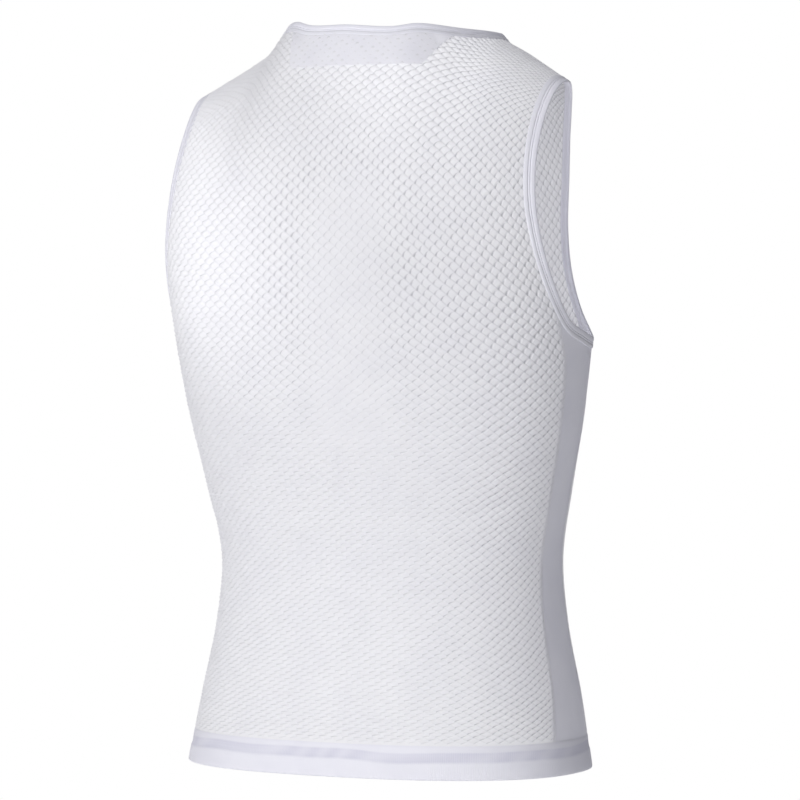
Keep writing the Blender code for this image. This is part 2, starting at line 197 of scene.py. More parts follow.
# The free edge of the left armhole, from the shoulder tip down the back and up the front. The
# columns are counted with a row number set before them.
OVER, TURN = range(1, 3)
ARMHOLE = (
    # over, turn
    (0.000, 70.6),
    (0.040, 69.6),
    (0.080, 68.6),
    (0.120, 67.6),
    (0.160, 67.1),
    (0.200, 67.9),
    (0.235, 70.8),
    (0.265, 75.9),
    (0.285, 82.0),
    (0.293, 90.0),
    (0.300, 99.0),
    (0.303, 108.0),
    (0.295, 116.0),
    (0.270, 121.0),
    (0.233, 121.8),
    (0.190, 119.1),
    (0.150, 115.2),
    (0.110, 110.7),
    (0.070, 106.7),
    (0.035, 104.2),
    (0.000, 102.7),
)
# The two edges of a side panel, as turns, down from the armhole to the hem.
BACK_EDGE, FRONT_EDGE = range(1, 3)
SIDE_PANEL = (
    # length_down, back_edge, front_edge
    (0.260, 76.0, 122.0),
    (0.290, 77.5, 119.5),
    (0.320, 81.5, 113.0),
    (0.350, 82.8, 105.5),
    (0.385, 83.5, 100.5),
    (0.420, 84.0, 98.5),
    (0.470, 84.0, 98.0),
    (0.540, 82.2, 99.5),
    (0.600, 81.0, 101.0),
    (0.640, 79.0, 103.0),
)


def smooth(rows, column, at):
    """A column of a table at any value of its first column, with no corners between its rows."""
    table = np.array(rows, float)
    known, value = table[:, 0], table[:, column]
    at = np.clip(np.asarray(at, float), known[0], known[-1])
    slope = np.gradient(value, known)
    row = np.clip(np.searchsorted(known, at, side="right") - 1, 0, len(known) - 2)
    step = known[row + 1] - known[row]
    t = (at - known[row]) / step
    return (
        (1 + 2 * t) * (1 - t) ** 2 * value[row]
        + t * (1 - t) ** 2 * step * slope[row]
        + t * t * (3 - 2 * t) * value[row + 1]
        + t * t * (t - 1) * step * slope[row + 1]
    )


def eased(share):
    """A share held between 0 and 1 that starts and ends with no corner."""
    share = np.clip(share, 0, 1)
    return share * share * (3 - 2 * share)


def seam_height(x):
    """Height above the hem of the shoulder seam's line, carried on across the neck opening."""
    soft = np.hypot(x, SEAM_ROUND) - np.hypot(TIP_ACROSS, SEAM_ROUND) + TIP_ACROSS
    rise = NECK_RISE * eased((RISE_FOOT - np.abs(x)) / RISE_RUN)
    lean = SEAM_LEAN * x * eased((LEAN_END - np.abs(x)) / LEAN_FADE)
    return TIP_HEIGHT + SEAM_SLOPE * (TIP_ACROSS - soft) + rise + lean


def shoulder_round(x):
    t = np.clip((TIP_ACROSS - np.abs(x)) / (TIP_ACROSS - NECK_SIDE), 0, 1)
    return ROUND_AT_TIP + (ROUND_AT_NECK - ROUND_AT_TIP) * t


def height_over(x, over):
    """Height above the hem of the point `over` down from the shoulder seam."""
    radius = shoulder_round(x)
    angle = np.minimum(over / radius, pi / 2)
    straight = np.maximum(over - radius * pi / 2, 0)
    return seam_height(x) - radius * (1 - np.cos(angle)) - straight


def over_height(x, height):
    """How far down from the shoulder seam the cloth reaches this height above the hem."""
    radius = shoulder_round(x)
    drop = np.maximum((seam_height(x) - height) / radius, 0)
    return radius * (np.arccos(1 - np.minimum(drop, 1)) + np.maximum(drop - 1, 0))


def section_sizes(height, front):
    centre = smooth(SECTIONS, CENTRE, height)
    back_depth = smooth(SECTIONS, BACK, height) - centre
    front_depth = smooth(SECTIONS, FRONT, height) + centre
    depth = np.where(front, front_depth, back_depth)
    square = np.where(
        front, smooth(SECTIONS, SQUARE_FRONT, height), smooth(SECTIONS, SQUARE_BACK, height)
    )
    return smooth(SECTIONS, HALF_WIDTH, height), depth, centre, square


def section(turn, height):
    """Where the level section at this height is met when one turns from the centre back."""
    angle = np.radians(turn)
    half, depth, centre, square = section_sizes(height, np.cos(angle) < 0)
    sides = np.abs(np.sin(angle)) / half
    ends = np.abs(np.cos(angle)) / depth
    reach = (sides**square + ends**square) ** (-1 / square)
    return reach * np.sin(angle), centre + reach * np.cos(angle)


def turn_at(x, over, front):
    """The turn at which the cloth is met this far across and this far over the shoulder."""
    height = height_over(x, over)
    half, depth, _, square = section_sizes(height, front)
    share = (1 - np.clip(np.abs(x) / half, 0, 1) ** square) ** (1 / square)
    away = np.where(front, -depth, depth) * share
    return np.degrees(np.arctan2(x, away))


# How often a place on the cloth is worked out again until it settles.
CLOTH_ROUNDS, EDGE_ROUNDS = 10, 8


def cloth(turn, over):
    """The point of the cloth's outer face at a turn and a length over the shoulder."""
    turn, over = np.broadcast_arrays(np.asarray(turn, float), np.asarray(over, float))
    height = np.full(turn.shape, TIP_HEIGHT / 2)
    for _ in range(CLOTH_ROUNDS):
        x, y = section(turn, height)
        height = height_over(x, over)
    share = np.sin(np.minimum(over / shoulder_round(x), pi / 2))
    t = (TIP_ACROSS - np.clip(np.abs(x), NECK_ACROSS, None)) / (TIP_ACROSS - NECK_ACROSS)
    seam = TIP_DEPTH + (NECK_DEPTH - TIP_DEPTH) * t
    return np.stack([x, seam + (y - seam) * share, height - SHOULDER_HEIGHT], -1)


def unit(vectors):
    return vectors / np.linalg.norm(vectors, axis=-1, keepdims=True)


SMALL_TURN, SMALL_OVER = 0.05, 0.0001


def directions(turn, over):
    """How the cloth runs with the turn, per degree, and over the shoulder, per metre."""
    round_body = cloth(turn + SMALL_TURN, over) - cloth(turn - SMALL_TURN, over)
    down_cloth = cloth(turn, over + SMALL_OVER) - cloth(turn, over - SMALL_OVER)
    return round_body / (2 * SMALL_TURN), down_cloth / (2 * SMALL_OVER)


# The folds of the cloth: each lies at a turn and a height above the hem, runs for a length at a
# tilt from level, and stands out, or in, by its rise. Sizes in millimetres.
FOLDS = (
    # turn, height, length, width, tilt, rise
    (-40, 250, 60, 9, 8, 0.9),
    (-58, 215, 45, 8, -12, -1.0),
    (30, 205, 70, 9, 5, 0.8),
    (62, 190, 40, 8, 14, -0.9),
)
# The body's radius by which a turn becomes a length round it.
FOLD_RADIUS = 155


def folded(points, facing):
    """The points moved out or in by the folds that they lie on."""
    turn = np.degrees(np.arctan2(points[..., 0], points[..., 1]))
    rise = np.zeros(turn.shape)
    for at, height, length, width, tilt, high in FOLDS:
        gone = np.radians((turn - at + 180) % 360 - 180) * FOLD_RADIUS
        up = (points[..., 2] + SHOULDER_HEIGHT) * 1000 - height
        slope = np.radians(tilt)
        along = gone * np.cos(slope) + up * np.sin(slope)
        aside = up * np.cos(slope) - gone * np.sin(slope) - (along / length) ** 2 * width
        rise += high * np.exp(-((along / length) ** 2) - (aside / width) ** 2)
    return points + facing * (rise / 1000)[..., None]


def surface(turn, over, out=0.0):
    """Points of the worn and folded cloth, `out` millimetres proud of its outer face."""
    facing = unit(np.cross(*directions(turn, over)))
    return folded(cloth(turn, over), facing) + facing * np.asarray(out)[..., None] / 1000


def beside(turn, over, distance):
    """A closed line on the cloth moved sideways within the cloth, away from its hole."""
    points = cloth(turn, over)
    along = np.roll(points, -1, axis=0) - np.roll(points, 1, axis=0)
    round_body, down_cloth = directions(turn, over)
    sideways = unit(np.cross(np.cross(round_body, down_cloth), along)) * distance
    aa = (round_body**2).sum(-1)
    ab = (round_body * down_cloth).sum(-1)
    bb = (down_cloth**2).sum(-1)
    ca = (sideways * round_body).sum(-1)
    cb = (sideways * down_cloth).sum(-1)
    area = aa * bb - ab**2
    return turn + (ca * bb - cb * ab) / area, over + (cb * aa - ca * ab) / area


def neck_line(stations):
    """The neck opening's free edge, once round from the centre back by the left shoulder."""
    station = np.linspace(0, 2 * pi, stations, endpoint=False)
    x = NECK_ACROSS * np.sin(station)
    front = np.cos(station) < 0
    drop = np.where(front, NECK_DROP_FRONT, NECK_DROP_BACK) * np.abs(np.cos(station)) ** NECK_SHAPE
    over = np.radians(drop) * shoulder_round(x)
    turn = turn_at(x, over, front)
    return np.where(front & (turn < 0), turn + 360, turn), over


def armhole_line(stations):
    """The left armhole's free edge, from the shoulder tip down the back and up the front."""
    rows = np.column_stack([np.arange(len(ARMHOLE)), ARMHOLE])
    at = np.linspace(0, len(ARMHOLE) - 1, stations, endpoint=False)
    return smooth(rows, TURN, at), smooth(rows, OVER, at)


# The knit's columns are counted across from the centre of the body, towards the wearer's right,
# and its rows down from this height above the hem, where the armholes end. From here up the
# columns run straight, and below it they share the width of the panel.
LEVEL, LEVEL_BLEND = 0.360, 0.045
HALF_COLUMNS = 19.8
# How the wearing stretches the knit, at heights above the hem as if the back were upright: the
# pitch of its rows in millimetres, of its columns as a share of their even width, and how much
# further the back is pulled on the wearer's left than on the right, and the front the other way.
PITCH, WIDEN, PULL = range(1, 4)
STRETCH = (
    # height, pitch, widen, pull
    (0.000, 5.0, 1.03, 0.03),
    (0.050, 5.2, 1.03, 0.03),
    (0.088, 5.8, 1.02, 0.03),
    (0.142, 6.7, 0.99, 0.03),
    (0.196, 6.6, 0.98, 0.03),
    (0.251, 6.6, 1.00, 0.03),
    (0.305, 7.5, 1.00, 0.04),
    (0.360, 8.4, 1.00, 0.05),
    (0.414, 9.0, 0.98, 0.07),
    (0.468, 9.1, 0.94, 0.10),
    (0.523, 8.8, 0.90, 0.10),
    (0.577, 8.5, 0.89, 0.10),
    (0.620, 8.2, 0.89, 0.09),
    (0.660, 8.2, 0.89, 0.07),
    (0.700, 8.2, 0.89, 0.06),
    (0.850, 8.2, 0.89, 0.06),
)
# The rows lie level low down, and turn to follow the shoulder's slope from this length of cloth
# below its seam. Levelling moves them by this length at most.
LEVEL_FROM, MOST_LEVELLED = 0.16, 0.014


# The rows are counted between these lengths of cloth down from LEVEL, in short steps.
COUNTED_FROM, COUNTED_TO, COUNTED_STEP = -0.45, 0.36, 0.001


def row_lengths():
    """Row numbers, and the length of cloth down from LEVEL at which each lies."""
    down = np.arange(COUNTED_FROM, COUNTED_TO, COUNTED_STEP)
    pitch = smooth(STRETCH, PITCH, LEVEL - down) / 1000
    rows = np.concatenate([[0], np.cumsum(COUNTED_STEP / ((pitch[1:] + pitch[:-1]) / 2))])
    return rows - np.interp(0, down, rows), down


def side_edge(over, front):
    return smooth(SIDE_PANEL, FRONT_EDGE if front else BACK_EDGE, over)


# The table of widths: how many heights, turns and shares of the half width it holds, how far
# above LEVEL and how far round it goes, and what keeps a reading of it inside its last step.
WIDTH_HEIGHTS, WIDTH_TURNS, WIDTH_SHARES = 39, 381, 57
ABOVE_LEVEL, WIDEST_TURN, WIDEST_SHARE, LAST_STEP = 0.02, 95, 1.12, 1.001


def width_shares(front):
    """Turns away from the panel's middle for each height and each share of its half width."""
    heights = np.linspace(0.0, LEVEL + ABOVE_LEVEL, WIDTH_HEIGHTS)
    away = np.linspace(0, WIDEST_TURN, WIDTH_TURNS)
    shares = np.linspace(0, WIDEST_SHARE, WIDTH_SHARES)
    rows = []
    for height in heights:
        x, y = section(180 - away if front else away, height)
        run = np.concatenate([[0], np.cumsum(np.hypot(np.diff(x), np.diff(y)))])
        edge = 90.0
        for _ in range(EDGE_ROUNDS):
            over = over_height(section(180 - edge if front else edge, height)[0], height)
            edge = 180 - side_edge(over, True) if front else side_edge(over, False)
        rows.append(np.interp(shares * np.interp(edge, away, run), run, away))
    return heights, shares, np.array(rows)


def knit_place(column, row, front, known):
    """The turn and the length over the shoulder of a place in the knit of the back or front."""
    down = np.interp(row, *row_lengths())
    height = LEVEL - down
    heights, shares, away = known
    side = -np.sign(column)
    share = column / HALF_COLUMNS * smooth(STRETCH, WIDEN, height)
    pull = smooth(STRETCH, PULL, height) * (-1 if front else 1)
    share = np.abs(share - pull * share**2)
    level = np.minimum(height, LEVEL)
    i = np.clip((level - heights[0]) / (heights[1] - heights[0]), 0, len(heights) - LAST_STEP)
    j = np.clip(share / shares[1], 0, len(shares) - LAST_STEP)
    i0, j0 = i.astype(int), j.astype(int)
    fi, fj = i - i0, j - j0
    gone = (
        away[i0, j0] * (1 - fi) * (1 - fj)
        + away[i0 + 1, j0] * fi * (1 - fj)
        + away[i0, j0 + 1] * (1 - fi) * fj
        + away[i0 + 1, j0 + 1] * fi * fj
    )
    low_turn = 180 - side * gone if front else side * gone
    x = section(low_turn, level)[0]
    over = over_height(x, LEVEL) + down
    even = over_height(x, height_over(0.0, over_height(0.0, LEVEL) + down))
    shift = MOST_LEVELLED * np.tanh((even - over) / MOST_LEVELLED)
    over = over + shift * eased(over / LEVEL_FROM) * (down < 0)
    high_turn = turn_at(x, over, front)
    high_turn = np.where(front & (high_turn < 0), high_turn + 360, high_turn)
    share = eased((height - LEVEL) / LEVEL_BLEND)
    return low_turn + (high_turn - low_turn) * share, over


def inside(loop, turn, over):
    """Which places lie inside a closed line of turns and lengths."""
    found = np.zeros(turn.shape, bool)
    ends = np.roll(np.array(loop), -1, axis=1)
    for t0, o0, t1, o1 in zip(*loop, *ends):
        if o0 != o1:
            crossed = (o0 > over) != (o1 > over)
            found ^= crossed & (turn < t0 + (over - o0) * (t1 - t0) / (o1 - o0))
    return found


# The mesh's edges, in metres: under the tapes by over half their width, behind the hem's top
# edge, and a little way under the plain yoke, whose outline leaves the neck at its top half width
# and ends level at its foot.
UNDER_TAPE, MESH_FOOT, UNDER_YOKE = 0.006, 0.0265, 0.003
# At the shoulder's tip the mesh ends this far inside it, for this length.
TIP_UNDER, TIP_LENGTH = 0.005, 0.020
YOKE_CENTRE, YOKE_FOOT_HALF, YOKE_TOP_HALF, YOKE_FOOT_HEIGHT = -0.012, 0.056, 0.073, 0.584
# How many points the outlines of the openings have where the mesh is cut along them.
CUT_NECK, CUT_ARMHOLE = 160, 168


def under_neck_tape(x, front, **beyond):
    """How far over the shoulder the neck tape's middle lies at each x."""
    turn, over = beside(*neck_line(CUT_NECK), UNDER_TAPE)
    kept = (np.cos(np.radians(turn)) < 0) == front
    line_x = cloth(turn[kept], over[kept])[:, 0]
    order = np.argsort(line_x)
    return np.interp(x, line_x[order], over[kept][order], **beyond)


def yoke_ends(x):
    """How far over the shoulder the neck tape's middle and the yoke's foot lie at each x."""
    top = under_neck_tape(x, False)
    share = (np.abs(x - YOKE_CENTRE) - YOKE_FOOT_HALF) / (YOKE_TOP_HALF - YOKE_FOOT_HALF)
    foot = over_height(x, YOKE_FOOT_HEIGHT)
    return top, foot + (top - foot) * eased(share)


# The lengths over the shoulder where the side panels begin and above which the yoke lies, the
# radius by which a turn beside a side panel becomes a length, the mesh's gap at the shoulder
# seam, and what stands for an edge that is far off.
PANEL_FROM, YOKE_ABOVE, SIDE_RADIUS, SEAM_GAP, FAR_OFF = 0.255, 0.12, 0.16, 0.0002, 1.0


def room_left(turn, over, front):
    """Metres inside the panel's outer line at its foot, sides, shoulder seam and yoke."""
    points = cloth(turn, over)
    height = points[..., 2] + SHOULDER_HEIGHT
    under = np.abs(points[..., 0] - YOKE_CENTRE) < (0 if front else YOKE_TOP_HALF)
    plain = np.where(under, over - yoke_ends(points[..., 0])[1] + UNDER_YOKE, FAR_OFF)
    away = 180 - np.abs((turn + 180) % 360 - 180) if front else np.abs(turn)
    limit = 180 - side_edge(over, True) if front else side_edge(over, False)
    beside_panel = np.radians(limit - away) * SIDE_RADIUS
    beside_panel = np.where(over > PANEL_FROM, beside_panel, FAR_OFF)
    beside_panel = np.minimum(height - MESH_FOOT, beside_panel)
    plain = np.where(over < YOKE_ABOVE, plain, FAR_OFF)
    return beside_panel, np.minimum(over - SEAM_GAP, plain)


def taped_off(turn, over, front):
    """Which places lie well under a tape or in an opening."""
    left = beside(*armhole_line(CUT_ARMHOLE), UNDER_TAPE)
    wrapped = (turn + 180) % 360 - 180 if not front else turn % 360
    out = inside(left, wrapped, over)
    out |= inside(left, (360 - wrapped) if front else -wrapped, over)
    x = cloth(turn, over)[..., 0]
    out |= (np.abs(x) > TIP_ACROSS - TIP_UNDER) & (over < TIP_LENGTH)
    return out | (over < under_neck_tape(x, front, left=-1, right=-1))


# A cell's lines, as shares of the way from one edge to the next, down to the lower right and up
# to the right, and the web's height there: it is steep on its upper left, beside its slit.
DOWN_LINES = np.array((-0.50, -0.40, -0.31, -0.22, 0.04, 0.30))
UP_LINES = np.array((-0.50, -0.36, 0.0, 0.34))
WEB_DOWN = np.array((0.30, 0.15, 0.10, 0.92, 1.0, 0.66))
WEB_UP = np.array((-0.20, 0.62, 1.0, 0.62))
STRAND_DOWN = np.array((1.0, 0.35, 0.0, 0.0, 0.0, 0.20))
STRAND_UP = np.array((1.0, 0.25, 0.0, 0.25))
# From its lower left end up: how deep the slit is along its middle and how dark its painted
# shade, how far it opens into the web, how far it curls round the web's corner, and how far it
# lies down where the knit is worn flat. How dark the painted shade along the creases is, how far
# they fill up where it is worn flat, and how much the slit shortens there.
SLIT_DOWN, SLIT_UP, CREASE_SHADE = 2, np.array((0.85, 1.0, 0.62, 0.18)), 0.6
CREASE_FILLED, SLIT_SHORTENS = 0.55, 0.5
SLIT_OPEN, SLIT_CURL = np.array((0.75, 1.0, 0.55, 0.10)), np.array((0.16, 0.02, -0.03, 0.05))
SLIT_LIES = np.array((-0.08, 0.0, 0.18, 0.36))
STRAND_HIGH, WEB_HIGH, SLIT_DEEP, GROUND = 0.55, 1.0, 1.0, -0.50
# How far each of a cell's down lines follows when its slit opens, curls and lies down, and how
# far the widest opening moves them.
OPENS_WITH = np.array((0, 0, 0.5, 1.0, 0.25, 0))
CURLS_WITH = np.array((0, 0.6, 1.0, 0.8, 0.2, 0))
LIES_WITH = np.array((0, 0.7, 1.0, 1.0, 0.35, 0))
OPENS_BY = 0.21
# Where the zones of the knit lie, in its columns and rows: the ring of eyelets on the upper back,
# the quiet middle below its top, the wearer's right and left sides, and the waist down to the hem.
ZONE_MIDDLE = 2.3
RING_RADIUS, RING_WIDE, RING_ROW, RING_SQUASH, RING_END, RING_FADE = 5.6, 1.9, -10.4, 0.9, 1.0, 4
MIDDLE_HALF, MIDDLE_ROW, MIDDLE_LONG, MIDDLE_FADE = 3.4, -0.5, 16.0, 6
RIGHT_FROM, RIGHT_FADE, LEFT_FROM, LEFT_FADE, LOWER_FROM, LOWER_FADE = 4.0, 12, 5.0, 8, -1.0, 15
# What each zone adds to the plain knit: how far its slits open, how deep they are and how dark
# their painted shade, how dark the painted shade along its creases, and how high its webs stand.
ZONE_LOOKS = np.array(
    (
        # plain, ring, right, far_right, left, lower, middle
        (0.35, 1.15, 0.55, 0.00, -0.30, -0.25, -0.15),
        (0.60, 0.04, 0.18, 0.00, -0.20, -0.12, -0.24),
        (0.28, 0.00, 0.30, 0.00, -0.20, -0.28, -0.18),
        (1.05, 0.00, 0.00, -0.30, 0.10, -0.22, -0.35),
    )
)
# How high the strands stand on the far right, how much less the waist's slits lie down there,
# and the widest that a slit opens.
RIGHT_STRAND, RIGHT_UPRIGHT, WIDEST_OPENING = 0.90, 0.6, 1.5


def zones(column, row, front):
    """How open and deep the slits are, how dark their painted shade and that along the creases,
    and how high webs and strands.

    The last is how level the slits lie, where the knit is worn flat.
    """
    across = column if front else column - ZONE_MIDDLE
    ring = np.hypot(across, np.maximum(RING_ROW - row, 0) * RING_SQUASH)
    ring = np.exp(-(((ring - RING_RADIUS) / RING_WIDE) ** 2)) * eased((RING_END - row) / RING_FADE)
    middle = eased((MIDDLE_LONG - np.abs(row - MIDDLE_ROW)) / MIDDLE_FADE)
    middle = np.exp(-((np.abs(across) / MIDDLE_HALF) ** 4)) * middle
    right = eased((column - RIGHT_FROM) / RIGHT_FADE)
    left = eased((-column - LEFT_FROM) / LEFT_FADE)
    lower = eased((row - LOWER_FROM) / LOWER_FADE)
    shares = np.stack([np.ones(row.shape), ring, right, right**2, left, lower, middle])
    opening, slit_depth_and_shade, painted_crease_shade, web = np.tensordot(ZONE_LOOKS, shares, 1)
    strand = RIGHT_STRAND * right**3
    level = np.maximum(left * (1 - ring), lower * (1 - RIGHT_UPRIGHT * right))
    opening = np.clip(opening, 0, WIDEST_OPENING)
    return opening, np.clip(slit_depth_and_shade, 0, 1), np.clip(painted_crease_shade, 0, 1), web, strand, level


# The cells that are drawn: from which number, how many both ways, how many columns beyond the
# half width, and between which rows.
FIRST_CELL, CELLS, SPARE_COLUMNS, TOP_ROW, LAST_ROW = -82, 166, 9, -52, 56
# No two webs of a worn knit are quite alike: how much, as shares, their slits' depth and painted
# shade, their heights and their corners' places vary, and how far and how often the lines wander.
SEED, SLIT_DEPTH_AND_SHADE_VARIES, WEB_VARIES, CORNER_VARIES, WANDER = 4, 0.22, 0.12, 0.03, 0.05
WANDER_A, WANDER_B = (1.9, 0.6, 1), (1.7, -0.8, 2)
# A mesh corner is kept this far outside the panel and is then drawn in, by halving, to its edge.
KEPT_OUTSIDE, DRAWN_ROUNDS = 0.004, 12
# The relief dies down over these lengths at the sides and foot, and at the seam and the yoke,
# where it may still show this far outside.
SIDE_DIES, TOP_DIES, TOP_OUTSIDE = 0.006, 0.0015, 0.0003


def knit(front, split_rows):
    """The points, facings and faces of a mesh panel, in stretches that end at `split_rows`."""
    across, along = len(DOWN_LINES), len(UP_LINES)
    ia, ib = np.meshgrid(np.arange(CELLS * across), np.arange(CELLS * along), indexing="ij")
    cell_a, cell_b = ia // across + FIRST_CELL, ib // along + FIRST_CELL
    ia, ib = ia % across, ib % along
    cell_column, cell_row = (cell_a + cell_b) / 2, (cell_a - cell_b) / 2
    near = np.abs(cell_column) < HALF_COLUMNS + SPARE_COLUMNS
    near &= (cell_row > TOP_ROW) & (cell_row < LAST_ROW)
    opening, slit_depth_and_shade, painted_crease_shade, web, strand, level = zones(cell_column, cell_row, front)
    # The web's edge draws back from its slit as the slit opens.
    drawn = OPENS_WITH[ia] * SLIT_OPEN[ib]
    curled = CURLS_WITH[ia] * SLIT_CURL[ib] * (1 - level)
    lying = LIES_WITH[ia] * SLIT_LIES[ib] * level
    a = cell_a + DOWN_LINES[ia] + OPENS_BY * opening * drawn + curled + lying
    b = cell_b + UP_LINES[ib]
    chance = np.random.default_rng(SEED).uniform(-1, 1, (4, CELLS, CELLS))
    chance = chance[:, cell_a - FIRST_CELL, cell_b - FIRST_CELL]
    slit_depth_and_shade, web = slit_depth_and_shade * (1 + SLIT_DEPTH_AND_SHADE_VARIES * chance[0]), web * (1 + WEB_VARIES * chance[1])
    varies = CORNER_VARIES * (ia > SLIT_DOWN) * (ib > 0)
    by_b, by_a, start = WANDER_A
    a = a + WANDER * np.sin(by_b * b + by_a * a + start) + chance[2] * varies
    by_a, by_b, start = WANDER_B
    b = b + WANDER * np.sin(by_a * a + by_b * b + start) + chance[3] * varies
    column, row = (a + b) / 2, (a - b) / 2
    known = width_shares(front)
    turn, over = np.zeros(a.shape), np.zeros(a.shape)
    turn[near], over[near] = knit_place(column[near], row[near], front, known)
    room = np.full(a.shape, -1.0)
    room[near] = np.minimum(*room_left(turn[near], over[near], front))
    good = room > -KEPT_OUTSIDE
    good[good] = ~taped_off(turn[good], over[good], front)
    # A face is kept if all its corners are good and one at least is inside the panel.
    number = np.arange(a.size).reshape(a.shape)
    corners = np.stack([number[:-1, :-1], number[1:, :-1], number[1:, 1:], number[:-1, 1:]], -1)
    kept = good.ravel()[corners].all(-1) & (room.ravel()[corners] > 0).any(-1)
    faces = corners[kept]
    # A corner outside the panel is drawn in to the panel's edge, towards its face's inside.
    outer = room.ravel() < 0
    middle = np.zeros((a.size, 2))
    weight = np.zeros(a.size)
    flat = np.stack([column.ravel(), row.ravel()], -1)
    for k in range(4):
        for m in range(4):
            held = outer[faces[:, k]] & ~outer[faces[:, m]]
            np.add.at(middle, faces[held, k], flat[faces[held, m]])
            np.add.at(weight, faces[held, k], 1)
    pulled = np.flatnonzero(weight > 0)
    start, goal = flat[pulled], middle[pulled] / weight[pulled, None]
    low, high = np.zeros(len(pulled)), np.ones(len(pulled))
    for _ in range(DRAWN_ROUNDS):
        half = (low + high) / 2
        at = start + (goal - start) * half[:, None]
        t, o = knit_place(at[:, 0], at[:, 1], front, known)
        inner = np.minimum(*room_left(t, o, front)) > 0
        high = np.where(inner, half, high)
        low = np.where(inner, low, half)
    at = start + (goal - start) * high[:, None]
    turn.ravel()[pulled], over.ravel()[pulled] = knit_place(at[:, 0], at[:, 1], front, known)
    used, faces = np.unique(faces, return_inverse=True)
    faces = faces.reshape(-1, 4)
    turn, over = turn.ravel()[used], over.ravel()[used]
    ia, ib, slit_depth_and_shade, painted_crease_shade, web, strand, level = (
        values.ravel()[used] for values in (ia, ib, slit_depth_and_shade, painted_crease_shade, web, strand, level)
    )
    low_edge, high_edge = room_left(turn, over, front)
    edge = eased(low_edge / SIDE_DIES) * eased((high_edge + TOP_OUTSIDE) / TOP_DIES)
    web_up = WEB_UP[ib] + CREASE_FILLED * (ib == 0) * level
    out = GROUND + WEB_DOWN[ia] * web_up * WEB_HIGH * web
    out = out + np.maximum(STRAND_DOWN[ia], STRAND_UP[ib]) * STRAND_HIGH * strand
    # How deep each slit is along its middle, which also sets how dark its painted shade is.
    painted_shade = (ia == SLIT_DOWN) * SLIT_UP[ib] ** (1 + SLIT_SHORTENS * level) * slit_depth_and_shade
    points = surface(turn, over, (out - SLIT_DEEP * painted_shade) * edge)
    # Painted shade: the slits' darkness and the creases', dying down at the panel's edges.
    painted_shade = np.maximum(painted_shade, (ib == 0) * CREASE_SHADE * painted_crease_shade) * edge
    places = np.stack([column.ravel()[used], row.ravel()[used]], -1)
    rows_of_faces = places[faces][:, :, 1].mean(1)
    corner = points[faces]
    normal = np.cross(corner[:, 2] - corner[:, 0], corner[:, 3] - corner[:, 1])
    facing = np.zeros(points.shape)
    for k in range(4):
        np.add.at(facing, faces[:, k], normal)
    outward = unit(np.cross(*directions(turn, over)))
    if (facing * outward).sum() < 0:
        faces, facing = faces[:, ::-1], -facing
    stretches = []
    limits = [-np.inf, *split_rows, np.inf]
    for first, last in zip(limits, limits[1:]):
        mine = faces[(rows_of_faces >= first) & (rows_of_faces < last)]
        own, mine = np.unique(mine, return_inverse=True)
        mine = mine.reshape(-1, 4)
        stretches.append((points[own], unit(facing[own]), mine, places[own], painted_shade[own]))
    return stretches


# Edges that turn by more than this many degrees look sharp.
SHARP_FROM = 55


def piece(name, points, faces, material, uv=None, facing=None):
    """A piece of cloth from its points, shaded smooth, with its own flat coordinates."""
    mesh = bpy.data.meshes.new(name)
    mesh.from_pydata(np.asarray(points).reshape(-1, 3).tolist(), [], np.asarray(faces).tolist())
    mesh.update()
    mesh.shade_smooth()
    if uv is not None:
        mesh.uv_layers.new(name="cloth").data.foreach_set("uv", np.asarray(uv, float).ravel())
    if facing is not None:
        mesh.normals_split_custom_set_from_vertices(facing.tolist())
    else:
        mesh.set_sharp_from_angle(angle=np.radians(SHARP_FROM))
    mesh.materials.append(material)
    made = bpy.data.objects.new(name, mesh)
    bpy.context.collection.objects.link(made)
    return made


# A wave texture draws one band to a unit at this scale.
ONE_BAND = 0.314


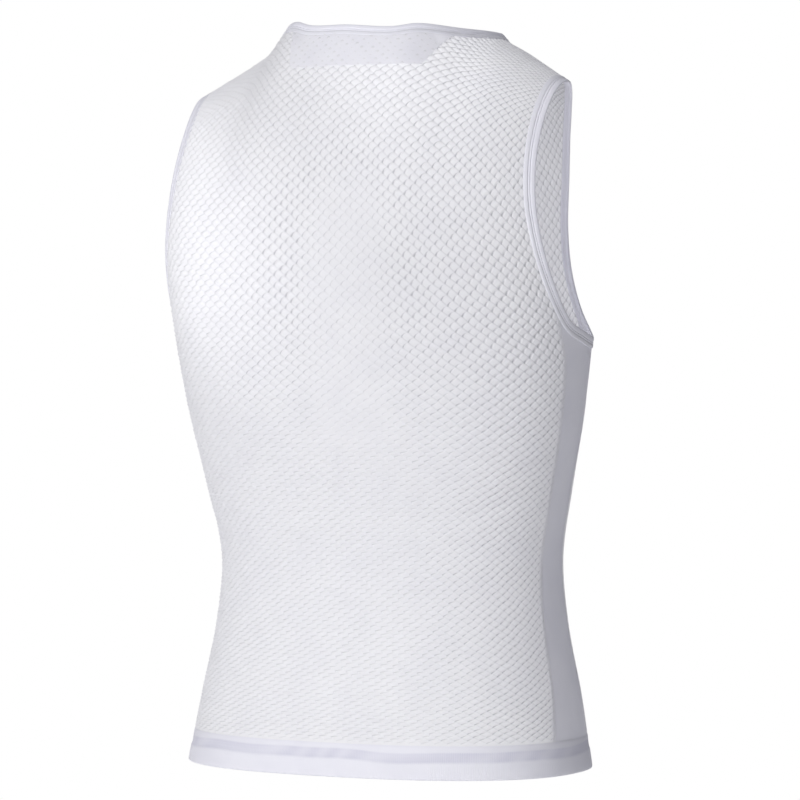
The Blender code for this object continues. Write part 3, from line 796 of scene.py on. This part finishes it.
def white_knit(name, base, shade, loop_mm, loop_depth, thin, size=(1.0, 1.0), painted_shade=None):
    """White knitted yarn: matt, a little sheen, and so thin that some light comes through.

    The loops follow the cloth: `size` is how many millimetres one unit of its flat coordinates
    measures, and a wale and a course are `loop_mm` wide and high.
    """
    made = bpy.data.materials.new(name)
    made.use_nodes = True
    tree = made.node_tree
    shader = tree.nodes["Principled BSDF"]
    shader.inputs["Roughness"].default_value = 0.82
    shader.inputs["Sheen Weight"].default_value = 0.25
    shader.inputs["Sheen Roughness"].default_value = 0.5
    shader.inputs["Specular IOR Level"].default_value = 0.25
    flat = node(tree, "ShaderNodeUVMap", {"uv_map": "cloth"})
    scale = (size[0] / loop_mm[0], size[1] / loop_mm[1], 1)
    placed = node(tree, "ShaderNodeMapping", {"Scale": scale}, Vector=flat.outputs[0])
    # Wales run up the cloth and courses slant across it, a little bent, as yarn is.
    bands = []
    for run, scale, bent in (("X", ONE_BAND, 0.6), ("DIAGONAL", 2 * ONE_BAND, 0.8)):
        settings = {"bands_direction": run, "Scale": scale, "Distortion": bent, "Detail": 1.0}
        drawn = node(tree, "ShaderNodeTexWave", settings, Vector=placed.outputs[0])
        bands.append(drawn.outputs["Fac"])
    loops = node(tree, "ShaderNodeMath", {"operation": "MULTIPLY"}, _0=bands[0], _1=bands[1])
    spots = node(tree, "ShaderNodeTexCoord")
    cloudy = node(
        tree, "ShaderNodeTexNoise", {"Scale": 30.0, "Detail": 3.0}, Vector=spots.outputs["Object"]
    )
    tint = node(tree, "ShaderNodeMix", {"data_type": "RGBA", 6: colour(shade), 7: colour(base)})
    amount = node(
        tree,
        "ShaderNodeMapRange",
        {"From Min": 0.25, "From Max": 0.6},
        Value=cloudy.outputs["Fac"],
    )
    tree.links.new(amount.outputs[0], tint.inputs[0])
    if painted_shade:
        # Painted shade: a darker colour, mixed in by a point attribute, stands in for the shade at
        # the bottom of the mesh's slits, eyelets and creases, and on the hem's slack strip.
        depth = node(tree, "ShaderNodeAttribute", {"attribute_name": "painted_shade"})
        tint = node(
            tree, "ShaderNodeMix", {"data_type": "RGBA", 7: colour(painted_shade)}, _6=tint.outputs[2]
        )
        tree.links.new(depth.outputs["Fac"], tint.inputs[0])
    tree.links.new(tint.outputs[2], shader.inputs["Base Color"])
    bump = node(
        tree,
        "ShaderNodeBump",
        {"Strength": 0.6, "Distance": loop_depth / 1000},
        Height=loops.outputs[0],
    )
    tree.links.new(bump.outputs[0], shader.inputs["Normal"])
    through = node(
        tree, "ShaderNodeBsdfTranslucent", Color=tint.outputs[2], Normal=bump.outputs[0]
    )
    mixed = node(
        tree, "ShaderNodeMixShader", {0: thin}, _1=shader.outputs[0], _2=through.outputs[0]
    )
    tree.links.new(mixed.outputs[0], tree.nodes["Material Output"].inputs["Surface"])
    return made


# Polyamide knit straight off the machine: matt and cool white, with loops under a millimetre
# wide, here a little coarser so that they show.
COLUMN_MM, ROW_MM = 10.5, 8.0
knit_unit = (COLUMN_MM, ROW_MM)
# acabb3 is the painted shade mixed in at the slits, eyelets and creases.
mesh_knit = white_knit(
    "polyamide_mesh_knit", "f5f5f8", "f2f2f6", (0.95, 0.9), 0.12, 0.42, knit_unit, painted_shade="acabb3"
)


# A panel is drawn in three stretches, which part at these rows.
SPLIT_ROWS = (0.0, 26.0)


def mesh_panel(where, front, cuts):
    """The back or the front. The cut of each stretch, its width, length and area, is not used."""
    node_name = where + "_panel"
    for part, stretch, cut in zip(("upper", "middle", "lower"), knit(front, SPLIT_ROWS), cuts):
        points, facing, faces, places, painted_shade = stretch
        made = piece(f"{where}_mesh_{part}", points, faces, mesh_knit, places[faces], facing)
        # The painted shade of the slits and creases, as a point attribute read by the knit's
        # colour.
        made.data.attributes.new("painted_shade", "FLOAT", "POINT").data.foreach_set("value", painted_shade)
        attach(made, "root")
        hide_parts(node_name)


mesh_panel("back", False, ((0.42, 0.30, 0.105), (0.42, 0.18, 0.072), (0.42, 0.17, 0.068)))

# ---------------------------------------------------------------------------------------------
# The front: the same mesh, with the lower front neckline.

mesh_panel("front", True, ((0.36, 0.26, 0.07), (0.40, 0.18, 0.066), (0.42, 0.17, 0.066)))

# ---------------------------------------------------------------------------------------------
# The side panels: plain fine jersey, knitted in one with the mesh and not sewn to it. They run
# from under the armhole tapes down to the hem, and go a little way under the mesh's edges.

SIDE_COLUMNS, SIDE_ROWS, SIDE_UNDER, SIDE_TOP, SIDE_FOOT = 26, 120, 1.2, 0.005, 0.0262
SIDE_LEVEL, JERSEY_WALL, SIDE_STEP_MM = -0.35, 0.6, (2.2, 2.8)
# The armhole line's underarm lies below this length; a length halfway down, to begin from.
UNDERARM_FROM, HALFWAY, SIDE_ROUNDS = 0.245, 0.4, 12


def closed_sheet(turn, over, level, wall, size):
    """Points, faces and flat coordinates of a closed sheet over a grid of places."""
    rows, columns = turn.shape
    count = rows * columns
    upper = surface(turn, over, np.full(turn.shape, level))
    lower = surface(turn, over, np.full(turn.shape, level - wall))
    points = np.concatenate([upper.reshape(-1, 3), lower.reshape(-1, 3)])
    number = np.arange(count).reshape(rows, columns)
    top = np.stack([number[:-1, :-1], number[:-1, 1:], number[1:, 1:], number[1:, :-1]], -1)
    top = top.reshape(-1, 4)
    rim = np.concatenate([number[0, :-1], number[:-1, -1], number[-1, :0:-1], number[:0:-1, 0]])
    after = np.roll(rim, -1)
    faces = np.concatenate(
        [top, top[:, ::-1] + count, np.stack([after, rim, rim + count, after + count], -1)]
    )
    flat = np.stack(np.meshgrid(np.arange(columns), np.arange(rows)), -1).reshape(-1, 2)
    flat = np.concatenate([flat, flat]) * np.array(size)
    first = points[top[0]]
    normal = np.cross(first[2] - first[0], first[3] - first[1])
    if (normal * (upper.reshape(-1, 3)[0] - lower.reshape(-1, 3)[0])).sum() < 0:
        faces = faces[:, ::-1]
    return points, faces, flat[faces]


def at_height(turn, height):
    """How far over the shoulder each turn reaches this height above the hem."""
    return over_height(section(turn, np.full(np.shape(turn), height))[0], height)


# Fine jersey of the same yarn: even, matt and closed, with loops that a camera barely sees.
side_jersey = white_knit("polyamide_fine_jersey", "f0f0f5", "ededf3", (0.8, 0.8), 0.08, 0.42)


def side_panel(name, node_name, hand):
    line_turn, line_over = beside(*armhole_line(CUT_ARMHOLE), SIDE_TOP)
    low = line_over > UNDERARM_FROM
    order = np.argsort(line_turn[low])
    share, down = np.meshgrid(np.linspace(0, 1, SIDE_COLUMNS), np.linspace(0, 1, SIDE_ROWS))
    over = np.full(share.shape, HALFWAY)
    for _ in range(SIDE_ROUNDS):
        back = smooth(SIDE_PANEL, BACK_EDGE, over) - SIDE_UNDER
        turn = back + share * (smooth(SIDE_PANEL, FRONT_EDGE, over) + SIDE_UNDER - back)
        top = np.interp(turn, line_turn[low][order], line_over[low][order])
        over = top + (at_height(turn, SIDE_FOOT) - top) * down
    points, faces, flat = closed_sheet(hand * turn, over, SIDE_LEVEL, JERSEY_WALL, SIDE_STEP_MM)
    made = piece(name, points, faces, side_jersey, flat)
    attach(made, "root")
    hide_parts(node_name)


side_panel("side_jersey_left", "side_panel_left", 1)
side_panel("side_jersey_right", "side_panel_right", -1)

# ---------------------------------------------------------------------------------------------
# The yoke: a closely knitted plain zone of the back, below the neck tape. It is denser than the
# mesh round it, so that it stands a little proud.

YOKE_COLUMNS, YOKE_ROWS, YOKE_LEVEL, YOKE_WALL, YOKE_STEP_MM = 90, 24, 0.35, 0.5, (1.6, 1.6)
# The share of its half width over which it is drawn, short of its pointed ends.
YOKE_DRAWN = 0.985

angle = np.linspace(-pi / 2, pi / 2, YOKE_COLUMNS)
x = YOKE_CENTRE + YOKE_TOP_HALF * YOKE_DRAWN * np.sin(angle)
top, foot = yoke_ends(x)
down = np.linspace(0, 1, YOKE_ROWS)[:, None]
over = top + (foot - top) * down
turn = turn_at(np.broadcast_to(x, over.shape), over, np.zeros(over.shape, bool))
# The same yarn knitted close: even and matt. Its colour is a shade whiter than the mesh's, which
# is painted light: it lifts the yoke against the shade at the top of the back.
plain_yoke_knit = white_knit("polyamide_plain_yoke", "fafafe", "f6f6fb", (0.8, 0.8), 0.06, 0.42)
points, faces, flat = closed_sheet(turn, over, YOKE_LEVEL, YOKE_WALL, YOKE_STEP_MM)
yoke = piece("neck_yoke", points, faces, plain_yoke_knit, flat)
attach(yoke, "root")
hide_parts("back_neck_yoke")

# ---------------------------------------------------------------------------------------------
# The tapes: elastic tape folded over the raw edge of the neck and of each armhole and sewn
# through with two rows of stitches, which sink into it.

# Across a tape from its free edge, and out from the cloth's outer face, in millimetres: the
# outside with its two rows of stitches, and then back along the inside.
TAPE_PROFILE = (
    # across, out
    (0.00, -0.30),
    (0.15, 0.25),
    (0.60, 0.62),
    (1.60, 0.78),
    (3.20, 0.78),
    (4.05, 0.66),
    (4.50, 0.00),
    (4.95, 0.62),
    (5.30, 0.70),
    (5.75, 0.62),
    (6.20, 0.00),
    (6.65, 0.58),
    (7.60, 0.72),
    (9.20, 0.60),
    (9.90, 0.40),
    (10.10, 0.05),
    (9.80, -0.90),
    (9.00, -1.15),
    (6.60, -1.15),
    (6.20, -0.90),
    (5.80, -1.15),
    (4.90, -1.15),
    (4.50, -0.90),
    (4.10, -1.15),
    (1.20, -1.20),
    (0.30, -0.85),
)
# Where the rows of stitches lie across it and how far out, outside and inside, and one stitch.
GROOVES, STITCHES_OUT, STITCHES_IN = (4.5, 6.2), 0.12, -1.02
STITCH_PITCH, STITCH_LONG, STITCH_THICK, LOOK_AHEAD = 2.6, 2.0, 0.32, 0.001
NECK_STATIONS, ARMHOLE_STATIONS, TAPE_STEP_MM = 200, 252, 0.8

# Folded elastic tape of bright white yarn: smooth, with fine lengthwise ribs.
tape_elastic = white_knit("folded_elastic_tape", "f2f2fa", "eeeef7", (0.9, 1.4), 0.07, 0.20)


def swept(rings, size):
    """Points, faces and flat coordinates of closed rings of points, joined into a tube."""
    points = np.stack(rings, 1)
    stations, around = points.shape[:2]
    i, j = np.meshgrid(np.arange(stations), np.arange(around), indexing="ij")
    i1, j1 = i + 1, j + 1
    flat = np.stack([np.stack([b, a], -1) for a, b in ((i, j), (i1, j), (i1, j1), (i, j1))], -2)
    corner = [
        (a % stations) * around + b % around for a, b in ((i, j), (i1, j), (i1, j1), (i, j1))
    ]
    faces = np.stack(corner, -1).reshape(-1, 4)
    flat = flat.reshape(-1, 4, 2) * np.array(size)
    points = points.reshape(-1, 3)
    corners = points[faces] - points.mean(0)
    volume = np.cross(corners[:, 0], corners[:, 1]) * corners[:, 2]
    volume = volume + np.cross(corners[:, 0], corners[:, 2]) * corners[:, 3]
    if volume.sum() < 0:
        faces, flat = faces[:, ::-1], flat[:, ::-1]
    return points, faces, flat


def stitched(line, across, pitch, out):
    """Points and faces of a row of stitches that lie along a tape."""
    turn, over = beside(*line, across / 1000)
    points = surface(turn, over, np.full(turn.shape, out))
    closed = np.concatenate([points, points[:1]])
    run = np.concatenate([[0], np.cumsum(np.linalg.norm(np.diff(closed, axis=0), axis=1))])
    count = int(run[-1] * 1000 / pitch)
    at = (np.arange(count) + 0.5) * run[-1] / count
    middle = np.stack([np.interp(at, run, closed[:, k]) for k in range(3)], -1)
    ahead = np.stack([np.interp(at + LOOK_AHEAD, run, closed[:, k]) for k in range(3)], -1)
    along = unit(ahead - middle)
    facing = unit(np.cross(*directions(turn, over)))
    facing = np.concatenate([facing, facing[:1]])
    facing = unit(np.stack([np.interp(at, run, facing[:, k]) for k in range(3)], -1))
    return thread_beads(middle, along, facing, STITCH_LONG, STITCH_THICK)


# One stitch: a short thread that dives at its two ends, in rings of four points. Shares of its
# length, its width and its thickness.
STITCH_SIDES = 4
STITCH_RINGS = (
    # where, wide, dive
    (-0.50, 0.2, -0.7),
    (-0.32, 0.8, -0.2),
    (0.00, 1.0, 0.0),
    (0.32, 0.8, -0.2),
    (0.50, 0.2, -0.7),
)


def thread_beads(middle, along, facing, long, thick):
    """One stitch copied to each middle, along its line and facing out. Millimetres."""
    aside = unit(np.cross(facing, along))
    rings = []
    for where, wide, dive in STITCH_RINGS:
        for k in range(STITCH_SIDES):
            angle = 2 * pi * k / STITCH_SIDES
            up = np.cos(angle) * wide * thick / 2 + dive * thick
            side = np.sin(angle) * wide * thick / 2
            rings.append(middle + (along * where * long + facing * up + aside * side) / 1000)
    points = np.stack(rings, 1)
    last = len(rings) - STITCH_SIDES
    one = [(0, 3, 2, 1), (last, last + 1, last + 2, last + 3)]
    for first in range(0, last, STITCH_SIDES):
        for k in range(STITCH_SIDES):
            a, b = first + k, first + (k + 1) % STITCH_SIDES
            one.append((a, b, b + STITCH_SIDES, a + STITCH_SIDES))
    faces = np.array(one)[None] + np.arange(len(middle))[:, None, None] * len(rings)
    return points.reshape(-1, 3), faces.reshape(-1, 4)


def joined(parts):
    """Several sets of points and faces as one."""
    starts = np.cumsum([0] + [len(points) for points, _ in parts[:-1]])
    points = np.concatenate([points for points, _ in parts])
    return points, np.concatenate([faces + start for (_, faces), start in zip(parts, starts)])


# Fine spun sewing thread, white like the tape.
sewing_thread = white_knit("spun_sewing_thread", "f4f4f8", "ededf2", (0.3, 0.3), 0.02, 0.0)


def tape(name, node_name, line, length):
    rings = []
    for across, out in TAPE_PROFILE:
        turn, over = beside(*line, across / 1000)
        rings.append(surface(turn, over, np.full(turn.shape, out)))
    points, faces, flat = swept(rings, (TAPE_STEP_MM, length * 1000 / len(line[0])))
    made = piece(name, points, faces, tape_elastic, flat)
    sides = [(across, out) for out in (STITCHES_OUT, STITCHES_IN) for across in GROOVES]
    points, faces = joined([stitched(line, across, STITCH_PITCH, out) for across, out in sides])
    flat = np.zeros((len(faces), 4, 2))
    thread = piece(name + "_stitches", points, faces, sewing_thread, flat)
    for item in (made, thread):
        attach(item, "root")
        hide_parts(node_name)


tape("neck_tape", "neck_binding", neck_line(NECK_STATIONS), 0.60)
left_line = armhole_line(ARMHOLE_STATIONS)
tape("armhole_tape_left", "armhole_binding_left", left_line, 0.66)
right_line = (-left_line[0][::-1], left_line[1][::-1])
tape("armhole_tape_right", "armhole_binding_right", right_line, 0.66)

# ---------------------------------------------------------------------------------------------
# The hem: a double welt, knitted on at the mesh's foot and turned up inside. Its lower band has
# fine upright ribs. Above it lies the slack strip where the inner layer ends, which sinks in
# unevenly, and above that a plain strip.

# Height above the hem and out from the cloth's outer face, in millimetres, up the outside and
# back down the inside, how much of the ribs' height shows there, and how dark its painted shade
# is, which lies on the sunken slack strip.
HEM_PROFILE = (
    # height, out, ribs, thin (painted shade)
    (0.0, -0.75, 0.3, 0.0),
    (0.3, 0.10, 0.7, 0.0),
    (1.2, 0.42, 1.0, 0.0),
    (5.0, 0.50, 1.0, 0.0),
    (10.0, 0.50, 1.0, 0.0),
    (13.3, 0.46, 1.0, 0.0),
    (14.5, 0.30, 1.0, 0.5),
    (15.6, 0.00, 1.0, 1.0),
    (17.5, -0.16, 1.0, 0.9),
    (20.0, -0.16, 1.0, 0.9),
    (21.8, -0.05, 0.8, 1.0),
    (23.2, 0.13, 0.3, 0.1),
    (25.0, 0.16, 0.0, 0.0),
    (27.2, 0.10, 0.0, 0.0),
    (27.6, 0.00, 0.0, 0.0),
    (27.2, -0.60, 0.0, 0.0),
    (23.0, -1.30, 0.0, 0.0),
    (14.5, -1.60, 0.0, 0.0),
    (2.0, -1.75, 0.0, 0.0),
    (0.4, -1.50, 0.0, 0.0),
)
HEM_RIBS, RIB_HIGH, STATIONS_PER_RIB, HEM_STEP_MM = 560, 0.10, 4, 1.7
# The slack strip lies between these heights, out from this level, and its edges wave by this
# much, in waves that go so many times round.
SLACK_LOW, SLACK_HIGH, SLACK_FROM, SLACK_WAVE = 13.0, 24.5, -0.5, 0.75
SLACK_WAVES = (
    # times, start, high
    (3, 0.7, 1.0),
    (7, 2.1, 0.7),
    (12, 4.0, 0.5),
)
# Its painted shade is blotched: so many blotches round, drawn together and apart in so many
# places, by so much, and the ribs vary it a little.
BLOTCHES, BLOTCH_DRIFTS, BLOTCH_DRIFT, BLOTCH_DEEP, BLOTCH_TALL, RIB_SHADE = 23, 5, 4, 0.2, 4, 0.15

# The welt's knit: fine and matt. The slack strip, a single sunken layer, is greyed with painted
# shade.
welt_knit = white_knit(
    "polyamide_welt_knit", "f0f0f7", "ececf4", (1.7, 0.8), 0.06, 0.25, painted_shade="dadae7"
)


def hem():
    stations = HEM_RIBS * STATIONS_PER_RIB
    turn = np.linspace(0, 360, stations, endpoint=False)
    angle = np.radians(turn)
    wave = sum(high * np.sin(times * angle + start) for times, start, high in SLACK_WAVES)
    drift = BLOTCHES * angle + BLOTCH_DRIFT * np.sin(BLOTCH_DRIFTS * angle)
    rib = np.cos(2 * pi * np.arange(stations) / STATIONS_PER_RIB)
    rings, painted_strip_shade = [], []
    for height, out, ribs, thin in HEM_PROFILE:
        slack = SLACK_LOW < height < SLACK_HIGH and out > SLACK_FROM
        moved = height + (SLACK_WAVE if slack else 0) * wave
        over = at_height(turn, moved / 1000)
        rings.append(surface(turn, over, out + ribs * RIB_HIGH * rib))
        # Painted shade on the slack strip, blotched and varied along the ribs.
        blotches = 1 - BLOTCH_DEEP + BLOTCH_DEEP * np.sin(drift + height / BLOTCH_TALL)
        painted_strip_shade.append(thin * blotches * (1 - RIB_SHADE + RIB_SHADE * rib))
    points, faces, flat = swept(rings, (HEM_STEP_MM, HEM_STEP_MM / STATIONS_PER_RIB))
    made = piece("hem_welt", points, faces, welt_knit, flat)
    # The painted shade, as a point attribute read by the welt's colour.
    painted_shade = made.data.attributes.new("painted_shade", "FLOAT", "POINT")
    painted_shade.data.foreach_set("value", np.stack(painted_strip_shade, 1).ravel())
    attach(made, "root")
    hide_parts("hem_band")


hem()

# ---------------------------------------------------------------------------------------------
# The shoulder seams: back and front meet edge to edge and are held by a flat row of overlocked
# threads that cross from one to the other.

SEAM_THREADS, SEAM_REACH, THREAD_THICK, THREAD_OUT, THREAD_SLANT = 52, 4.6, 0.45, 0.25, 0.35
# How far from the neck's edge and from the shoulder's tip the threads begin and end, in metres.
SEAM_FROM_NECK, SEAM_FROM_TIP = 0.008, 0.009


def shoulder_seam(name, hand):
    x = np.linspace(NECK_ACROSS + SEAM_FROM_NECK, TIP_ACROSS - SEAM_FROM_TIP, SEAM_THREADS)
    over = np.full(x.shape, SMALL_OVER)
    turn = hand * turn_at(x, over, np.zeros(x.shape, bool))
    facing = unit(np.cross(*directions(turn, over)))
    middle = surface(turn, over, np.full(x.shape, THREAD_OUT))
    seam = unit(np.gradient(middle, axis=0))
    across = unit(np.cross(facing, seam))
    parts = []
    for slant in (THREAD_SLANT, -THREAD_SLANT):
        along = unit(across + seam * slant)
        parts.append(thread_beads(middle, along, facing, SEAM_REACH, THREAD_THICK))
    points, faces = joined(parts)
    made = piece(name, points, faces, sewing_thread, np.zeros((len(faces), 4, 2)))
    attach(made, "root")
    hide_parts("back_panel", "front_panel")


shoulder_seam("shoulder_seam_left", 1)
shoulder_seam("shoulder_seam_right", -1)
